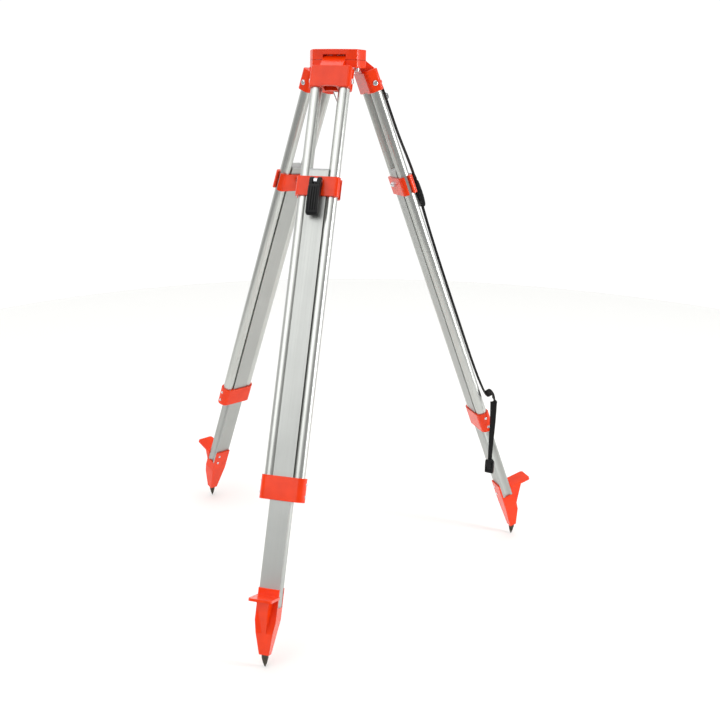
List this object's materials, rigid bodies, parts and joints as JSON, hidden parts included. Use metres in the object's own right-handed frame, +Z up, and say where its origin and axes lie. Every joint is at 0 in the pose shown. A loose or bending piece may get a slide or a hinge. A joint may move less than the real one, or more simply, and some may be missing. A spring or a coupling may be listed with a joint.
{
  "type": "surveying tripod",
  "caption": "Light aluminium surveying tripod: flat triangular head with captive screw, hinged telescoping legs with quick clamps, spiked shoes and a carry strap.",
  "frame": {"origin": "centre of the head's flat top face, on the axis of the instrument screw", "axes": "+Z up along the instrument screw; the front leg goes towards -Y, the other two at 120 degrees each side"},
  "size_m": [0.8264, 0.7172, 1.0689],
  "materials": {
    "paint": "glossy orange powder coat on die-cast aluminium",
    "tube": "satin anodised drawn tube",
    "profile": "satin anodised extrusion",
    "plastic_black": "glass-filled nylon",
    "plastic_grey": "moulded end cap",
    "steel": "bright zinc plate",
    "spike_steel": "turned, blackened steel",
    "screw_metal": "turned steel",
    "knob": "moulded grip",
    "arm": "pressed plate, zinc plated",
    "bush": "turned",
    "webbing": "woven polypropylene",
    "buckle": "moulded acetal"
  },
  "bodies": {
    "head": {"head_plate": "paint", "hinge_caps": "paint", "hinge_pins": "steel", "cap_bolts": "steel"},
    "screw_arm": {"screw_arm": "arm"},
    "screw_slider": {"screw_bush": "bush"},
    "screw": {"instrument_screw": "screw_metal", "screw_knob": "knob"},
    "bail": {"plumb_bail": "steel"},
    "hook": {"plumb_hook": "steel"},
    "front_upper_leg": {"front_hinge_casting": "paint", "front_tubes": "tube", "front_casting_screws": "steel", "front_lower_collar": "paint", "front_collar_rivets": "steel"},
    "front_lower_leg": {"front_inner_profile": "profile", "front_profile_cap": "plastic_grey", "front_clamp_outer_plate": "paint", "front_clamp_inner_plate": "paint", "front_clamp_bolt": "steel", "front_clamp_nut": "steel", "front_shoe": "paint", "front_shoe_rivets": "steel", "front_spike": "spike_steel"},
    "front_lever": {"front_clamp_lever": "plastic_black"},
    "right_upper_leg": {"right_hinge_casting": "paint", "right_tubes": "tube", "right_casting_screws": "steel", "right_lower_collar": "paint", "right_collar_rivets": "steel", "strap_webbing": "webbing", "strap_slider": "steel"},
    "right_lower_leg": {"right_inner_profile": "profile", "right_profile_cap": "plastic_grey", "right_clamp_outer_plate": "paint", "right_clamp_inner_plate": "paint", "right_clamp_bolt": "steel", "right_clamp_nut": "steel", "right_shoe": "paint", "right_shoe_rivets": "steel", "right_spike": "spike_steel"},
    "right_lever": {"right_clamp_lever": "plastic_black"},
    "left_upper_leg": {"left_hinge_casting": "paint", "left_tubes": "tube", "left_casting_screws": "steel", "left_lower_collar": "paint", "left_collar_rivets": "steel"},
    "left_lower_leg": {"left_inner_profile": "profile", "left_profile_cap": "plastic_grey", "left_clamp_outer_plate": "paint", "left_clamp_inner_plate": "paint", "left_clamp_bolt": "steel", "left_clamp_nut": "steel", "left_shoe": "paint", "left_shoe_rivets": "steel", "left_spike": "spike_steel"},
    "left_lever": {"left_clamp_lever": "plastic_black"},
    "strap_tail": {"strap_tail": "webbing", "strap_buckle": "buckle"}
  },
  "joints": [
    {"name": "front_leg_hinge", "type": "hinge", "parent": "head", "child": "front_upper_leg", "pos_m": [0, -0.034, -0.0195], "axis": [-1, 0, 0], "range_deg": [-21.4, 19]},
    {"name": "front_leg_slide", "type": "slide", "parent": "front_upper_leg", "child": "front_lower_leg", "axis": [0, -0.3649, -0.9311], "range_m": [-0.15, 0.5]},
    {"name": "front_lever_turn", "type": "hinge", "parent": "front_lower_leg", "child": "front_lever", "pos_m": [0, -0.15524, -0.23953], "axis": [-1, 0, 0], "range_deg": [0, 110]},
    {"name": "right_leg_hinge", "type": "hinge", "parent": "head", "child": "right_upper_leg", "pos_m": [0.02944, 0.017, -0.0195], "axis": [0.5, -0.866, 0], "range_deg": [-21.4, 19]},
    {"name": "right_leg_slide", "type": "slide", "parent": "right_upper_leg", "child": "right_lower_leg", "axis": [0.316, 0.1824, -0.9311], "range_m": [-0.15, 0.5]},
    {"name": "right_lever_turn", "type": "hinge", "parent": "right_lower_leg", "child": "right_lever", "pos_m": [0.13445, 0.07762, -0.23953], "axis": [0.5, -0.866, 0], "range_deg": [0, 110]},
    {"name": "left_leg_hinge", "type": "hinge", "parent": "head", "child": "left_upper_leg", "pos_m": [-0.02944, 0.017, -0.0195], "axis": [0.5, 0.866, 0], "range_deg": [-21.4, 19]},
    {"name": "left_leg_slide", "type": "slide", "parent": "left_upper_leg", "child": "left_lower_leg", "axis": [-0.316, 0.1824, -0.9311], "range_m": [-0.15, 0.5]},
    {"name": "left_lever_turn", "type": "hinge", "parent": "left_lower_leg", "child": "left_lever", "pos_m": [-0.13445, 0.07762, -0.23953], "axis": [0.5, 0.866, 0], "range_deg": [0, 110]},
    {"name": "screw_arm_swing", "type": "hinge", "parent": "head", "child": "screw_arm", "pos_m": [0, 0.046, -0.0358], "axis": [0, 0, 1], "range_deg": [-8, 8]},
    {"name": "screw_lift", "type": "slide", "parent": "screw_arm", "child": "screw_slider", "axis": [0, 0, 1], "range_m": [0, 0.015]},
    {"name": "screw_spin", "type": "hinge", "parent": "screw_slider", "child": "screw", "pos_m": [0, 0, -0.04], "axis": [0, 0, 1], "continuous": true},
    {"name": "bail_swing", "type": "hinge", "parent": "screw", "child": "bail", "pos_m": [0, 0, -0.073], "axis": [1, 0, 0], "range_deg": [-25, 25]},
    {"name": "hook_swing", "type": "hinge", "parent": "bail", "child": "hook", "pos_m": [0, 0, -0.099], "axis": [1, 0, 0], "range_deg": [-20, 20]},
    {"name": "strap_tail_swing", "type": "hinge", "parent": "right_upper_leg", "child": "strap_tail", "pos_m": [0.32643, 0.12773, -0.70469], "axis": [0.5, -0.866, 0], "range_deg": [-19, 21.4]}
  ],
  "couplings": [
    {"joint": "strap_tail_swing", "follows": "right_leg_hinge", "ratio": -1}
  ]
}
